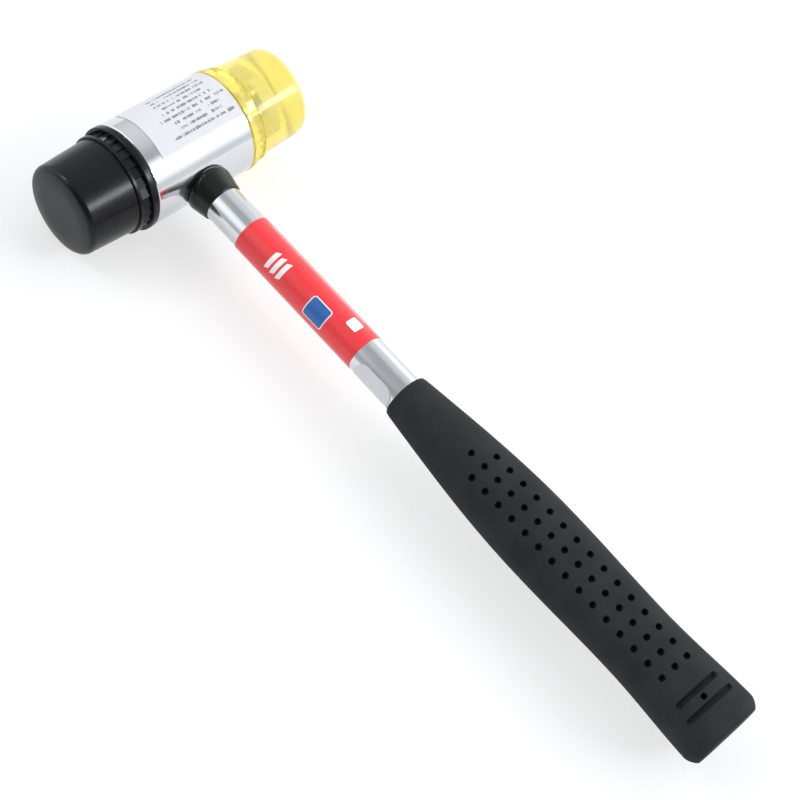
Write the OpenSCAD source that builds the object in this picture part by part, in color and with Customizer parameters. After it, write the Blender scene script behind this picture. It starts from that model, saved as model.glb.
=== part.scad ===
// Soft face hammer, lying on its side.
// The plated head runs along X, its two screw-on faces at the ends, and the handle runs towards -Y.
// Every piece is drawn about the point where the head's axis meets the handle's axis, and in_row()
// then moves that point so that the origin lies under the middle of the hammer, on the surface.

/* [Head] */
// Diameter of the plated head body
head_d = 38.5; // [34:0.1:46]
// Length of the plated head body between its two end faces
head_length = 42.6; // [40:0.1:60]
// Chamfer on the end edges of the head body
head_chamfer = 0.5; // [0.2:0.1:1.5]

/* [Faces] */
// How far each face stands out from the head body
face_length = 27.7; // [22:0.1:40]
// How far the plain flange of a face stands proud of the head body
flange_proud = 0.15; // [0.05:0.05:1]
// Width of the plain flange along the head
flange_w = 2.6; // [1.5:0.1:5]
// Width of the band beside the flange
band_w = 4.6; // [3:0.1:7]
// How far the band lies below the flange
band_drop = 1.1; // [0.3:0.05:2]
// How much of the band's width the notches leave plain
band_plain = 1.1; // [0.5:0.1:3]
// Depth of one notch in the band
notch_depth = 0.7; // [0.3:0.05:1.5]
// Number of notches round the band
notch_count = 30; // [12:1:36]
// How far the tapered body starts below the band
body_drop = 0.8; // [0.1:0.05:1.5]
// How far the tapered body draws in to the striking end
body_taper = 0.75; // [0.2:0.05:2]
// Rounding of the striking edge
face_edge = 2.2; // [0.8:0.1:4]
// Diameter of the flat middle of the striking end
face_flat_d = 18; // [10:0.5:26]
// How far the striking end falls from its flat middle to its rounded edge
face_crown = 0.5; // [0:0.05:1.5]

/* [Studs and washers] */
// Outside diameter of the stud's thread
thread_d = 8; // [6:0.5:10]
// Pitch of the stud's thread
thread_pitch = 1.25; // [1:0.05:2]
// Depth of the stud's thread
thread_depth = 0.65; // [0.3:0.05:1]
// Wall between the end of a stud's hole and the handle's socket
stud_wall = 2.15; // [1:0.05:4]
// Width of the stud's hexagon across its flats
hex_w = 16; // [11:0.5:18]
// Height of the stud's hexagon
hex_h = 5; // [3:0.1:8]
// Distance of the hexagon from the face's seat
hex_seat = 12.6; // [6:0.1:16]
// Outside diameter of the washer under a face
washer_d = 16; // [12:0.5:22]
// Thickness of the washer under a face
washer_h = 1.2; // [0.8:0.1:2]

/* [Handle] */
// Outside diameter of the handle tube
tube_d = 14.2; // [12:0.1:16]
// Wall of the handle tube
tube_wall = 1.2; // [0.8:0.1:2]
// How far the tube reaches past the head's axis
tube_reach = 9; // [4:0.5:12]
// How far the tube's lower end stops short of the grip's butt end
tube_setback = 19; // [15:0.5:40]
// Length of the steel plug inside the tube's upper end
plug_length = 30; // [20:1:50]
// Wall of the neck collar where it meets the head
collar_wall = 2.2; // [1.6:0.1:5]
// Wall of the neck collar at its lower end
collar_low_wall = 0.7; // [0.7:0.1:2]
// Distance of the collar's lower end from the head's axis
collar_end = 27.5; // [24:0.5:40]
// Rounding of the collar's lower edge
collar_edge = 0.6; // [0.2:0.1:1.5]

/* [Grip] */
// Distance of the grip's upper end from the head's axis
grip_start = 121.4; // [105:0.2:150]
// Distance of the grip's butt end from the head's axis
grip_end = 273; // [266:0.5:320]
// Turn of the grip's broad sides about the handle, away from the head's sides
grip_turn = 15; // [-20:1:20]
// Wall of the grip across its upper end
neck_wall = 1.4; // [1.2:0.1:3]
// Wall of the grip through its upper end
neck_thin_wall = 1.3; // [1.2:0.1:3]
// Width of the grip at its belly
belly_w = 27; // [22:0.1:34]
// Thickness of the grip at its belly
belly_t = 23.6; // [20:0.1:30]
// Width of the grip at its waist
waist_w = 25.6; // [21:0.1:32]
// Thickness of the grip at its waist
waist_t = 22.6; // [19:0.1:30]
// Width of the grip at its butt
butt_w = 28.7; // [23:0.1:36]
// Thickness of the grip at its butt
butt_t = 25.2; // [21:0.1:32]
// Length of the chamfer round the butt
butt_chamfer_l = 4.7; // [2:0.1:8]
// Depth of the chamfer round the butt
butt_chamfer_w = 2.3; // [1:0.1:4]
// Rounding of the grip's upper edge
grip_edge = 0.8; // [0.4:0.1:1.2]

/* [Grip pattern] */
// Diameter of one dimple
dimple_d = 2.3; // [1.5:0.1:3.5]
// Depth of one dimple
dimple_depth = 2.5; // [0.8:0.1:2.6]
// Distance between the rows of dimples
dimple_row = 5.4; // [3.5:0.1:7]
// Distance of the first dimple from the grip's upper end
dimple_setback = 31.9; // [20:0.1:45]
// Distance of the last dimple from the first cross groove
dimple_clear = 9.75; // [6:0.05:20]
// Number of dimples in the middle row, one more than in the outer rows
dimple_count = 16; // [8:1:18]
// Distance of the first cross groove from the grip's butt end
groove_setback = 16.2; // [14:0.1:24]
// Distance between the two cross grooves
groove_pitch = 5.8; // [4:0.1:7]
// Width of a cross groove
groove_w = 2.5; // [1.2:0.1:3]
// Length of the first cross groove
groove_length = 17; // [10:0.5:20]
// How much longer the second cross groove is
groove_growth = 2; // [0:0.5:4]
// Diameter of the vent hole between the grooves
vent_d = 2; // [1:0.1:3]

/* [Labels] */
// Thickness of a label
label_h = 0.12; // [0.08:0.01:0.3]
// Distance of the shaft label's upper edge from the head's axis
shaft_label_start = 42.6; // [36:0.1:60]
// Length of tube between the shaft label and the grip
bare_l = 20.1; // [14:0.1:40]
// Width of the open seam in the shaft label
shaft_label_seam = 0.5; // [0.2:0.1:2]
// Gap between the shaft label and the shaft tag
tag_gap = 2.5; // [0.5:0.1:5]
// Gap between the shaft tag and the grip
tag_clear = 0.8; // [0.3:0.1:4]
// Width of the shaft tag round the tube
tag_w = 13.5; // [6:0.1:16]
// Angle of the shaft tag's middle round the tube, from the yellow face's side over the top
tag_angle = 194; // [0:1:360]
// Rounding of the shaft tag's corners
tag_corner = 4; // [1:0.1:5]
// Gap between the head label and the yellow face's end of the head
head_label_gap = 0.6; // [0.5:0.1:3]
// Gap between the head label and the black face's end of the head
head_label_clear = 6.4; // [1:0.1:12]
// Width of the head label round the head
head_label_w = 27; // [15:0.1:34]
// Angle of the head label's middle round the head, from the top towards the far side of the handle
head_label_angle = 8; // [-20:1:40]

/* [Hidden] */
$fn = 64;
// Clearance between pieces that are pressed, moulded or glued together
fit = 0.05;
// Clearance between a thread or washer and what it turns in
run = 0.1;
// Gap left above the end of a blind hole
blind_gap = 0.5;
// Overrun of a cut past the surface it opens
over = 1;

head_r = head_d / 2;
head_half = head_length / 2;
flange_r = head_r + flange_proud;
band_r = flange_r - band_drop;
notch_w = band_w - band_plain;
notch_root_r = band_r - notch_depth;
// Start of each notch, just below the plain band
notch_top_r = band_r - fit;
// Core inside the notched ring, just below the notches' roots
notch_core_r = notch_root_r - fit;
body_root_r = band_r - body_drop;
body_tip_r = body_root_r - body_taper;
tube_r = tube_d / 2;
tube_bore_r = tube_r - tube_wall;
thread_r = thread_d / 2;
recess_h = washer_h + fit;
stud_reach = head_half - tube_r - fit - stud_wall - blind_gap;
label_r = tube_r + fit;
collar_r = tube_r + collar_wall;
collar_low_r = tube_r + collar_low_wall;
tube_end = grip_end - tube_setback;
grip_length = grip_end - grip_start;
neck_w = tube_d + 2 * neck_wall;
neck_t = tube_d + 2 * neck_thin_wall;
groove_start = grip_end - groove_setback;
dimple_start = grip_start + dimple_setback;
dimple_pitch = (groove_start - dimple_clear - dimple_start) / (dimple_count - 1);
vent_at = groove_start + groove_pitch / 2;
shaft_label_l = grip_start - bare_l - shaft_label_start;
tag_start = grip_start - bare_l + tag_gap;
tag_l = bare_l - tag_gap - tag_clear;
head_label_l = head_length - head_label_gap - head_label_clear;

// Share of the flange's width that its rounded edges take
flange_edge_share = 0.16;
// Shares of the grip's length at which it is widest and at which it is drawn in
belly_share = 0.45;
waist_share = 0.73;
// Share of the grip's length over which its round neck turns to a squarer section
section_share = 0.4;
// Shares of the butt chamfer's length and depth at its softened corners and its end
butt_shares = [[0.25, 0.12], [0.75, 0.62], [0.93, 0.84], [1, 1]];
// Powers of the grip's section at its neck and along its body: 2 is an ellipse
neck_power = 2;
body_power = 2.4;
// Counts of facets: round the grip, along it, and of a thread's section and slices in a turn
grip_sides = 32;
grip_rings = 24;
thread_sides = 12;
thread_slices = 12;
// Steps round a rounded edge of a turned outline, and round the grip's upper edge
arc_steps = 6;
edge_steps = 3;

// Moves the crossing of the two axes so that the hammer's box stands on the origin
module in_row()
    translate([0, (grip_end - flange_r) / 2, flange_r]) children();

// Turns a shape drawn up Z from the head's end face onto one end of the head
module on_head_end(side)
    rotate([0, 90 * side, 0]) translate([0, 0, head_half]) children();

// Turns a shape drawn up Z so that it runs down the handle from the head's axis
module down_handle()
    rotate([90, 0, 0]) children();

// Head body

module head_body() {
    outline = [[0, -head_half], [head_r - head_chamfer, -head_half], [head_r, -head_half + head_chamfer],
               [head_r, head_half - head_chamfer], [head_r - head_chamfer, head_half], [0, head_half]];
    color("lightgray") in_row() difference() {
        rotate([0, 90, 0]) rotate_extrude() polygon(outline);
        // Blind socket for the handle tube
        down_handle() translate([0, 0, -tube_reach - blind_gap])
            cylinder(r = tube_r + fit, h = tube_reach + blind_gap + head_r + over);
        // Tapped hole and washer recess at each end
        for (side = [-1, 1]) on_head_end(side) {
            translate([0, 0, -stud_reach - blind_gap])
                cylinder(r = thread_r + run, h = stud_reach + blind_gap + over);
            translate([0, 0, -recess_h])
                cylinder(r = washer_d / 2 + run, h = recess_h + over);
        }
    }
}

// Faces, studs and washers, drawn up Z from the head's end face

function arc(centre, radius, from, to) =
    [for (i = [0:arc_steps]) let (a = from + (to - from) * i / arc_steps)
        centre + radius * [cos(a), sin(a)]];

// Turned outline of a face: flange, core inside the notches, plain band, tapered body, rounded edge
// and crowned end
module face_outline() {
    notch_end = flange_w + notch_w;
    band_end = flange_w + band_w;
    edge_z = face_length - face_crown - face_edge;
    flange_edge = flange_w * flange_edge_share;
    polygon(concat(
        [[0, fit]],
        arc([flange_r - flange_edge, fit + flange_edge], flange_edge, -90, 0),
        arc([flange_r - flange_edge, flange_w - flange_edge], flange_edge, 0, 90),
        [[notch_core_r, flange_w], [notch_core_r, notch_end], [band_r, notch_end],
         [band_r, band_end], [body_root_r, band_end]],
        arc([body_tip_r - face_edge, edge_z], face_edge, 0, 90),
        [[face_flat_d / 2, face_length], [0, face_length]]));
}

// Saw-tooth outline: each notch falls evenly from its start to its root, then steps back up
module notch_outline() {
    step = 360 / notch_count;
    polygon([for (i = [0:notch_count - 1], end = [0, 1])
        (end == 0 ? notch_top_r : notch_root_r) * [cos((i + end) * step), sin((i + end) * step)]]);
}

// Six-sided block with flats at the top and bottom of the head
module hexagon(width, height)
    rotate([0, 0, 30]) cylinder(r = width / 2 / cos(30), h = height, $fn = 6);

module face_form() difference() {
    union() {
        rotate_extrude() face_outline();
        translate([0, 0, flange_w]) linear_extrude(notch_w) notch_outline();
    }
    // Space that the moulded-in stud fills
    translate([0, 0, -over]) cylinder(r = thread_r + fit, h = hex_seat + 2 * over);
    translate([0, 0, hex_seat - fit]) hexagon(hex_w + 2 * fit, hex_h + 2 * fit);
}

// The thread is an off-centre circle turned one full turn for each pitch
module stud_form() {
    root_r = thread_r - thread_depth / 2;
    translate([0, 0, hex_seat]) hexagon(hex_w, hex_h);
    cylinder(r = thread_r, h = hex_seat);
    translate([0, 0, -stud_reach])
        linear_extrude(stud_reach + fit, twist = -360 * (stud_reach + fit) / thread_pitch,
                       slices = ceil(thread_slices * stud_reach / thread_pitch), $fn = thread_sides)
            translate([thread_depth / 2, 0]) circle(root_r);
}

module washer_form()
    translate([0, 0, -washer_h]) difference() {
        cylinder(r = washer_d / 2, h = washer_h);
        translate([0, 0, -over]) cylinder(r = thread_r + 2 * run, h = washer_h + 2 * over);
    }

module black_face()
    color([0.13, 0.14, 0.15]) in_row() on_head_end(-1) face_form();

module black_face_stud()
    color("silver") in_row() on_head_end(-1) stud_form();

module black_face_washer()
    color("dimgray") in_row() on_head_end(-1) washer_form();

module yellow_face()
    color([0.95, 0.88, 0.35, 0.8]) in_row() on_head_end(1) face_form();

module yellow_face_stud()
    color("silver") in_row() on_head_end(1) stud_form();

module yellow_face_washer()
    color("dimgray") in_row() on_head_end(1) washer_form();

// Handle

// Tapered ring with a rounded lower edge, hollowed on top to sit on the head
module neck_collar() {
    color([0.16, 0.16, 0.16]) in_row() difference() {
        down_handle() rotate_extrude() polygon(concat(
            [[tube_r + fit, 0], [collar_r, 0], [collar_r, head_r]],
            arc([collar_low_r - collar_edge, collar_end - collar_edge], collar_edge, 0, 90),
            [[tube_r + fit, collar_end]]));
        rotate([0, 90, 0]) cylinder(r = head_r + fit, h = head_length, center = true);
    }
}

module handle_tube()
    color("gainsboro") in_row() down_handle() translate([0, 0, -tube_reach]) difference() {
        cylinder(r = tube_r, h = tube_reach + tube_end);
        translate([0, 0, -over]) cylinder(r = tube_bore_r, h = tube_reach + tube_end + 2 * over);
    }

module tube_plug()
    color("gray") in_row() down_handle() translate([0, 0, -tube_reach])
        cylinder(r = tube_bore_r - fit, h = plug_length);

// Grip, drawn up Z from its upper end with its broad sides facing along Y

function ease(share) = (1 - cos(180 * share)) / 2;

// Half a width or thickness at a share of the length: a quarter wave from the neck to the belly,
// then half waves to the waist and to the butt
function grip_half(share, neck, belly, waist, butt) =
    (share < belly_share ? neck + (belly - neck) * sin(90 * share / belly_share)
     : share < waist_share
       ? belly + (waist - belly) * ease((share - belly_share) / (waist_share - belly_share))
     : waist + (butt - waist) * ease((share - waist_share) / (1 - waist_share))) / 2;

function grip_a(share) = grip_half(share, neck_w, belly_w, waist_w, butt_w);
function grip_b(share) = grip_half(share, neck_t, belly_t, waist_t, butt_t);
function grip_power(share) =
    neck_power + (body_power - neck_power) * ease(min(1, share / section_share));

// Height of a broad side above the handle's axis at a distance from the head and off the middle
function grip_top(distance, off) =
    let (share = (distance - grip_start) / grip_length, p = grip_power(share))
    grip_b(share) * pow(1 - pow(abs(off) / grip_a(share), p), 1 / p);

// Distances along the grip and how far its surface is drawn in there: a rounded upper edge,
// even steps along the body, and a chamfer with softened corners at the butt
upper_edge = [for (i = [0:edge_steps]) let (a = 90 * i / edge_steps)
    [grip_edge * (1 - cos(a)), grip_edge * (1 - sin(a))]];
body_steps = [for (i = [1:grip_rings])
    [grip_edge + (grip_length - butt_chamfer_l - grip_edge) * i / grip_rings, 0]];
butt_steps = [for (b = butt_shares)
    [grip_length - butt_chamfer_l * (1 - b[0]), butt_chamfer_w * b[1]]];
grip_steps = concat(upper_edge, body_steps, butt_steps);

function signed_power(value, power) = sign(value) * pow(abs(value), power);

function grip_ring(step) =
    let (share = step[0] / grip_length, p = grip_power(share),
         a = grip_a(share) - step[1], b = grip_b(share) - step[1])
    [for (i = [0:grip_sides - 1]) let (t = 360 * i / grip_sides)
        [a * signed_power(cos(t), 2 / p), b * signed_power(sin(t), 2 / p), step[0]]];

module grip_loft() {
    last = len(grip_steps) - 1;
    sides = grip_sides;
    points = concat([for (step = grip_steps) each grip_ring(step)],
                    [[0, 0, 0], [0, 0, grip_length]]);
    low = sides * (last + 1);
    wall = [for (r = [0:last - 1], i = [0:sides - 1])
        let (j = (i + 1) % sides, a = r * sides + i, b = r * sides + j)
        each [[a, a + sides, b], [b, a + sides, b + sides]]];
    ends = [for (i = [0:sides - 1]) let (j = (i + 1) % sides)
        each [[low, i, j], [low + 1, last * sides + j, last * sides + i]]];
    polyhedron(points, concat(wall, ends));
}

// Round channel bent to follow a broad side
module cross_groove(distance, length) {
    top = grip_top(distance, 0);
    drop = top - grip_top(distance, length / 2);
    bend_r = (pow(length / 2, 2) + pow(drop, 2)) / (2 * drop);
    swing = asin(length / 2 / bend_r);
    translate([0, top - bend_r, distance - grip_start]) rotate([0, 0, 90 - swing])
        rotate_extrude(angle = 2 * swing) translate([bend_r, 0]) circle(d = groove_w);
}

// Hole square to a broad side
module side_hole(distance, off, diameter, floor_y)
    translate([off, floor_y, distance - grip_start]) rotate([-90, 0, 0])
        cylinder(d = diameter, h = grip_top(distance, off) - floor_y + over);

module grip_pattern() {
    for (row = [-1:1], i = [abs(row):dimple_count - 1]) {
        distance = dimple_start + i * dimple_pitch;
        off = row * dimple_row;
        side_hole(distance, off, dimple_d, grip_top(distance, off) - dimple_depth);
    }
    for (i = [0, 1]) cross_groove(groove_start + i * groove_pitch, groove_length + i * groove_growth);
}

module grip()
    color([0.2, 0.2, 0.2]) in_row() down_handle() translate([0, 0, grip_start])
        rotate([0, 0, grip_turn]) difference() {
            grip_loft();
            // Socket for the tube, with an air space that the vent opens
            translate([0, 0, -over]) cylinder(r = tube_r + fit, h = vent_at + vent_d - grip_start + over);
            for (turn = [0, 180]) rotate([0, 0, turn]) grip_pattern();
            side_hole(vent_at, 0, vent_d, 0);
        }

// Labels

module shaft_label() {
    seam = shaft_label_seam / tube_r * 180 / PI;
    color("crimson") in_row() down_handle() translate([0, 0, shaft_label_start])
        rotate([0, 0, seam / 2 - 90]) rotate_extrude(angle = 360 - seam)
            translate([label_r, 0]) square([label_h, shaft_label_l]);
}

// Patch of a ring with rounded corners, glued round the tube
module shaft_tag() {
    chord = 2 * label_r * sin(tag_w / label_r * 90 / PI);
    color("whitesmoke") in_row() down_handle() translate([0, 0, tag_start])
        rotate([0, 0, tag_angle]) intersection() {
            translate([0, 0, -over]) rotate([0, 0, -90]) rotate_extrude(angle = 180)
                translate([label_r, 0]) square([label_h, tag_l + 2 * over]);
            rotate([0, 90, 0]) translate([-tag_l / 2, 0, 0]) linear_extrude(label_r + label_h + over) {
                square([tag_l - 2 * tag_corner, chord], center = true);
                square([tag_l, chord - 2 * tag_corner], center = true);
                for (x = [-1, 1], y = [-1, 1])
                    translate([x * (tag_l / 2 - tag_corner), y * (chord / 2 - tag_corner)])
                        circle(tag_corner);
            }
        }
}

module head_label() {
    spread = head_label_w / head_r * 180 / PI;
    color("whitesmoke") in_row() translate([head_half - head_label_gap, 0, 0]) rotate([0, -90, 0])
        rotate([0, 0, head_label_angle - spread / 2]) rotate_extrude(angle = spread)
            translate([head_r + fit, 0]) square([label_h, head_label_l]);
}

head_body();
black_face();
black_face_stud();
black_face_washer();
yellow_face();
yellow_face_stud();
yellow_face_washer();
neck_collar();
handle_tube();
tube_plug();
grip();
shaft_label();
shaft_tag();
head_label();
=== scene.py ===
"""Looks of a soft face hammer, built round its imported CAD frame.

Lengths in the classes are in millimetres, about the point where the head's axis meets the
handle's axis: X runs along the head, Y runs against the handle and Z points up. in_frame() turns
them to metres in the frame.
"""

import logging
import math
from collections.abc import Callable
from dataclasses import dataclass
from enum import Enum
from functools import partial

import bpy
import numpy as np
from mathutils import Matrix


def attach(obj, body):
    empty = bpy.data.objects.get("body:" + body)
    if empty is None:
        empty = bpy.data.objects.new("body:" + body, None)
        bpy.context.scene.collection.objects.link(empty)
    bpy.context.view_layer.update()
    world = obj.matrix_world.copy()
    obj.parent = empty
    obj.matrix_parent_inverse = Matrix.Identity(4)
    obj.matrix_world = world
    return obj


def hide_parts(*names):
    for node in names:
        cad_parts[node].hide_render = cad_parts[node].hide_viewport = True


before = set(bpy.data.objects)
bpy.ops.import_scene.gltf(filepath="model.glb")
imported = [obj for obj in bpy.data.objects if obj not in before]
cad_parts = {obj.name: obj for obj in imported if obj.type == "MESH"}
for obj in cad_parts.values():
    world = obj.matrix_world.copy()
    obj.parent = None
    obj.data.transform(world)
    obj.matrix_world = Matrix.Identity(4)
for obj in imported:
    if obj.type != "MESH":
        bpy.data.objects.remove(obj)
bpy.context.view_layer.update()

LOG = logging.getLogger("soft_face_hammer")
AXES_CROSSING = np.array((0.0, 126.8, 19.4))
MM = 0.001
TINY = 1e-9
CREASE = math.radians(35)
UV_NAME = "surface"
# Places of the colours among a Mix node's inputs, and what makes it mix colours
MIX_A, MIX_B = 6, 7
COLOURS = {"out": 2, "data_type": "RGBA"}

Array = np.ndarray
Pair = tuple[float, float]
Triple = tuple[float, float, float]
Shape = tuple[Array, Array, Array]
Socket = bpy.types.NodeSocket
Inputs = dict[str | int, object]
Adder = Callable[..., Socket]


class Side(Enum):
    """End of the head: the value is the direction along X."""

    BLACK = -1
    YELLOW = 1


class Body(Enum):
    """CAD bodies that the pieces ride on."""

    HAMMER = "hammer"
    BLACK_FACE = "black_face"
    YELLOW_FACE = "yellow_face"


# Meshes


def in_frame(points: Array) -> Array:
    """Moves points in millimetres about the crossing of the axes to metres in the frame.

    Args:
        points: array of points, the last axis being x, y, z.

    Returns:
        The points in metres in the frame.
    """
    return (points + AXES_CROSSING) * MM


def skin(rings: Array, loop: bool = False) -> Shape:
    """Joins each ring of points to the next one, and each point to its neighbours round the ring.

    Args:
        rings: points of shape (rings, points in a ring, 3).
        loop: joins the last ring to the first; otherwise those two close to single points.

    Returns:
        The vertices, the quads and the triangles.
    """
    count, around, _ = rings.shape
    here = np.arange(around)
    onward = np.roll(here, -1)
    if loop:
        row = np.arange(count)[:, None] * around
        nxt = np.roll(row, -1, axis=0)
        quads = np.stack((row + here, row + onward, nxt + onward, nxt + here), -1)
        return rings.reshape(-1, 3), quads.reshape(-1, 4), np.empty((0, 3), int)
    points = np.concatenate((rings[0, :1], rings[1:-1].reshape(-1, 3), rings[-1, :1]))
    row = np.arange(count - 3)[:, None] * around + 1
    quads = np.stack((row + here, row + onward, row + around + onward, row + around + here), -1)
    last = (count - 3) * around + 1
    first_fan = np.stack((np.zeros_like(here), 1 + onward, 1 + here), -1)
    last_fan = np.stack((last + here, last + onward, np.full_like(here, len(points) - 1)), -1)
    return points, quads.reshape(-1, 4), np.concatenate((first_fan, last_fan))


def slab(outer: Array, inner: Array) -> Shape:
    """Closes two grids of the same shape into a thin sheet: both grids and a strip round their rim.

    Args:
        outer: points of the outer surface, of shape (rows, columns, 3).
        inner: points of the surface behind it, of the same shape.

    Returns:
        The vertices, the quads and an empty array of triangles.
    """
    rows, columns, _ = outer.shape
    index = np.arange(rows * columns).reshape(rows, columns)
    face = np.stack((index[:-1, :-1], index[:-1, 1:], index[1:, 1:], index[1:, :-1]), -1)
    rim = np.concatenate((index[0, :-1], index[:-1, -1], index[-1, :0:-1], index[:0:-1, 0]))
    onward = np.roll(rim, -1)
    back = rows * columns
    strip = np.stack((onward, rim, rim + back, onward + back), -1)
    quads = np.concatenate((face.reshape(-1, 4), face.reshape(-1, 4)[:, ::-1] + back, strip))
    points = np.concatenate((outer.reshape(-1, 3), inner.reshape(-1, 3)))
    return points, quads, np.empty((0, 3), int)


def signed_volume(points: Array, quads: Array, tris: Array) -> float:
    """Adds up the tetrahedra between the origin and each triangle: negative if inside out."""
    corners = points[np.concatenate((quads[:, :3], quads[:, (0, 2, 3)], tris))]
    return float(np.einsum("ij,ij->", corners[:, 0], np.cross(corners[:, 1], corners[:, 2])) / 6)


def make_piece(
    name: str, shape: Shape, material: bpy.types.Material, uv: Array | None = None
) -> bpy.types.Object:
    """Puts a closed shape into a mesh with its faces outwards, smooth between its creases.

    Args:
        name: name of the piece.
        shape: vertices in millimetres, quads and triangles.
        material: finish of the piece.
        uv: one pair of texture coordinates for each vertex.

    Returns:
        The new object, at the origin.
    """
    points, quads, tris = shape
    if signed_volume(points, quads, tris) < 0:
        quads, tris = quads[:, ::-1], tris[:, ::-1]
    mesh = bpy.data.meshes.new(name)
    mesh.from_pydata(in_frame(points), [], quads.tolist() + tris.tolist())
    mesh.shade_smooth()
    mesh.set_sharp_from_angle(angle=CREASE)
    if uv is not None:
        corner = np.empty(len(mesh.loops), np.int32)
        mesh.loops.foreach_get("vertex_index", corner)
        layer = mesh.uv_layers.new(name=UV_NAME)
        layer.data.foreach_set("uv", uv[corner].astype(np.float32).ravel())
    mesh.materials.append(material)
    mesh.validate()
    piece = bpy.data.objects.new(name, mesh)
    bpy.context.scene.collection.objects.link(piece)
    return piece


def install(piece: bpy.types.Object, body: Body, node: str) -> None:
    """Lets a piece ride on a body in place of a CAD node.

    Args:
        piece: the new piece.
        body: CAD body that it rides on.
        node: CAD node that it replaces.
    """
    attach(piece, body.value)
    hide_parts(node)
    LOG.info("%s: %d faces, rides on %s", piece.name, len(piece.data.polygons), body.value)


def dress_node(node: str, material: bpy.types.Material) -> None:
    """Gives a CAD node that is shown as it is its finish.

    Args:
        node: name of the CAD node.
        material: the finish.
    """
    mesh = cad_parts[node].data
    mesh.materials.clear()
    mesh.materials.append(material)
    LOG.info("%s: CAD solid with %s", node, material.name)


def arc(centre: Pair, radius: float, start: float, end: float, steps: int) -> Array:
    """Points on a circle: the centre plus the radius times the cosine and sine of even angles.

    Args:
        centre: distance along the axis and distance from it.
        radius: radius of the arc.
        start: first angle in degrees, 0 pointing along the axis and 90 away from it.
        end: last angle in degrees.
        steps: number of steps between the two angles.

    Returns:
        Pairs of distance along the axis and distance from it.
    """
    angle = np.radians(np.linspace(start, end, steps + 1))
    return np.array(centre) + radius * np.stack((np.cos(angle), np.sin(angle)), -1)


def eased(share: Array) -> Array:
    """Half a cosine wave from 0 to 1, which stays at 0 and 1 beyond its ends."""
    return (1 - np.cos(np.pi * np.clip(share, 0, 1))) / 2


def placement(right: Array | Triple, up: Array | Triple, back: Array | Triple, at: Array) -> Matrix:
    """Matrix of an object from its own three directions and its place, in metres."""
    return Matrix(np.vstack((np.column_stack((right, up, back, at)), (0, 0, 0, 1))).tolist())


# Finishes


def linear(code: str) -> tuple[float, float, float, float]:
    """Turns an sRGB hex colour to linear: a straight part near black, then a power of 2.4.

    Args:
        code: six hex digits.

    Returns:
        Red, green, blue and an alpha of 1.
    """
    srgb = np.array([int(code[i : i + 2], 16) for i in (0, 2, 4)]) / 255
    value = np.where(srgb <= 0.04045, srgb / 12.92, ((srgb + 0.055) / 1.055) ** 2.4)
    return (*value.tolist(), 1.0)


def per_mm(size: float) -> float:
    """Texture scale that gives a pattern features of that size in millimetres."""
    return 1 / (size * MM)


def add(
    tree: bpy.types.NodeTree,
    kind: str,
    inputs: Inputs | None = None,
    out: int | str = 0,
    **settings: object,
) -> Socket | None:
    """Adds a node, with its settings and its inputs.

    Args:
        tree: node tree of a material or world.
        kind: type name of the node, without its prefix.
        inputs: value or output socket for each input, by name or place.
        out: name or place of the output that is wanted.
        settings: properties of the node.

    Returns:
        That output, or None from a node without outputs.
    """
    node = tree.nodes.new(f"ShaderNode{kind}")
    for name, value in settings.items():
        setattr(node, name, value)
    for key, value in (inputs or {}).items():
        if isinstance(value, bpy.types.NodeSocket):
            tree.links.new(value, node.inputs[key])
        else:
            node.inputs[key].default_value = value
    return node.outputs[out] if node.outputs else None


@dataclass(frozen=True)
class Finish:
    """A finish with a name, whose surface() feeds one Principled shader."""

    name: str

    def material(self) -> bpy.types.Material:
        """Makes the material from the finish's nodes.

        Returns:
            The material.
        """
        made = bpy.data.materials.new(self.name)
        made.use_nodes = True
        made.node_tree.nodes.clear()
        node = partial(add, made.node_tree)
        place = node("TexCoord", out="Object")
        shader = node("BsdfPrincipled", self.surface(node, place))
        node("OutputMaterial", {"Surface": shader} | self.volume(node))
        return made

    def surface(self, node: Adder, place: Socket) -> Inputs:
        """Adds the nodes that make this finish.

        Args:
            node: adds a node to the material.
            place: place on the piece, in metres.

        Returns:
            Value or output socket for each input of the shader.
        """
        raise NotImplementedError

    def volume(self, node: Adder) -> Inputs:
        """Link for the inside of the piece: none for a finish that hides it."""
        return {}


@dataclass(frozen=True)
class ChromePlate(Finish):
    """Chromium plated on a polished metal.

    It gives a clear, slightly blue-grey mirror, with faint lines left by the polishing wheel and
    patches where handling has left a thin haze.
    """

    stretch: Triple
    line_mm: float = 0.9
    haze_mm: float = 16.0

    def surface(self, node: Adder, place: Socket) -> Inputs:
        """Mirror whose roughness follows the haze and the polishing lines.

        Args:
            node: adds a node.
            place: place on the piece.

        Returns:
            The shader's inputs.
        """
        drawn = node("Mapping", {"Vector": place, "Scale": self.stretch})
        lines = node("TexNoise", {"Vector": drawn, "Scale": per_mm(self.line_mm), "Detail": 3.0})
        haze = node("TexNoise", {"Vector": place, "Scale": per_mm(self.haze_mm), "Detail": 4.0})
        both = node("Math", {0: lines, 1: haze}, operation="MULTIPLY")
        rough = node("MapRange", {0: both, "From Min": 0.1, "From Max": 0.45,
                                  "To Min": 0.08, "To Max": 0.17})
        tint = node("Mix", {0: haze, MIX_A: linear("CFD3D7"), MIX_B: linear("DADCDF")}, **COLOURS)
        bump = node("Bump", {"Height": lines, "Strength": 0.04, "Distance": 0.1 * MM})
        return {"Base Color": tint, "Roughness": rough, "Normal": bump, "Metallic": 1.0}


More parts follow.
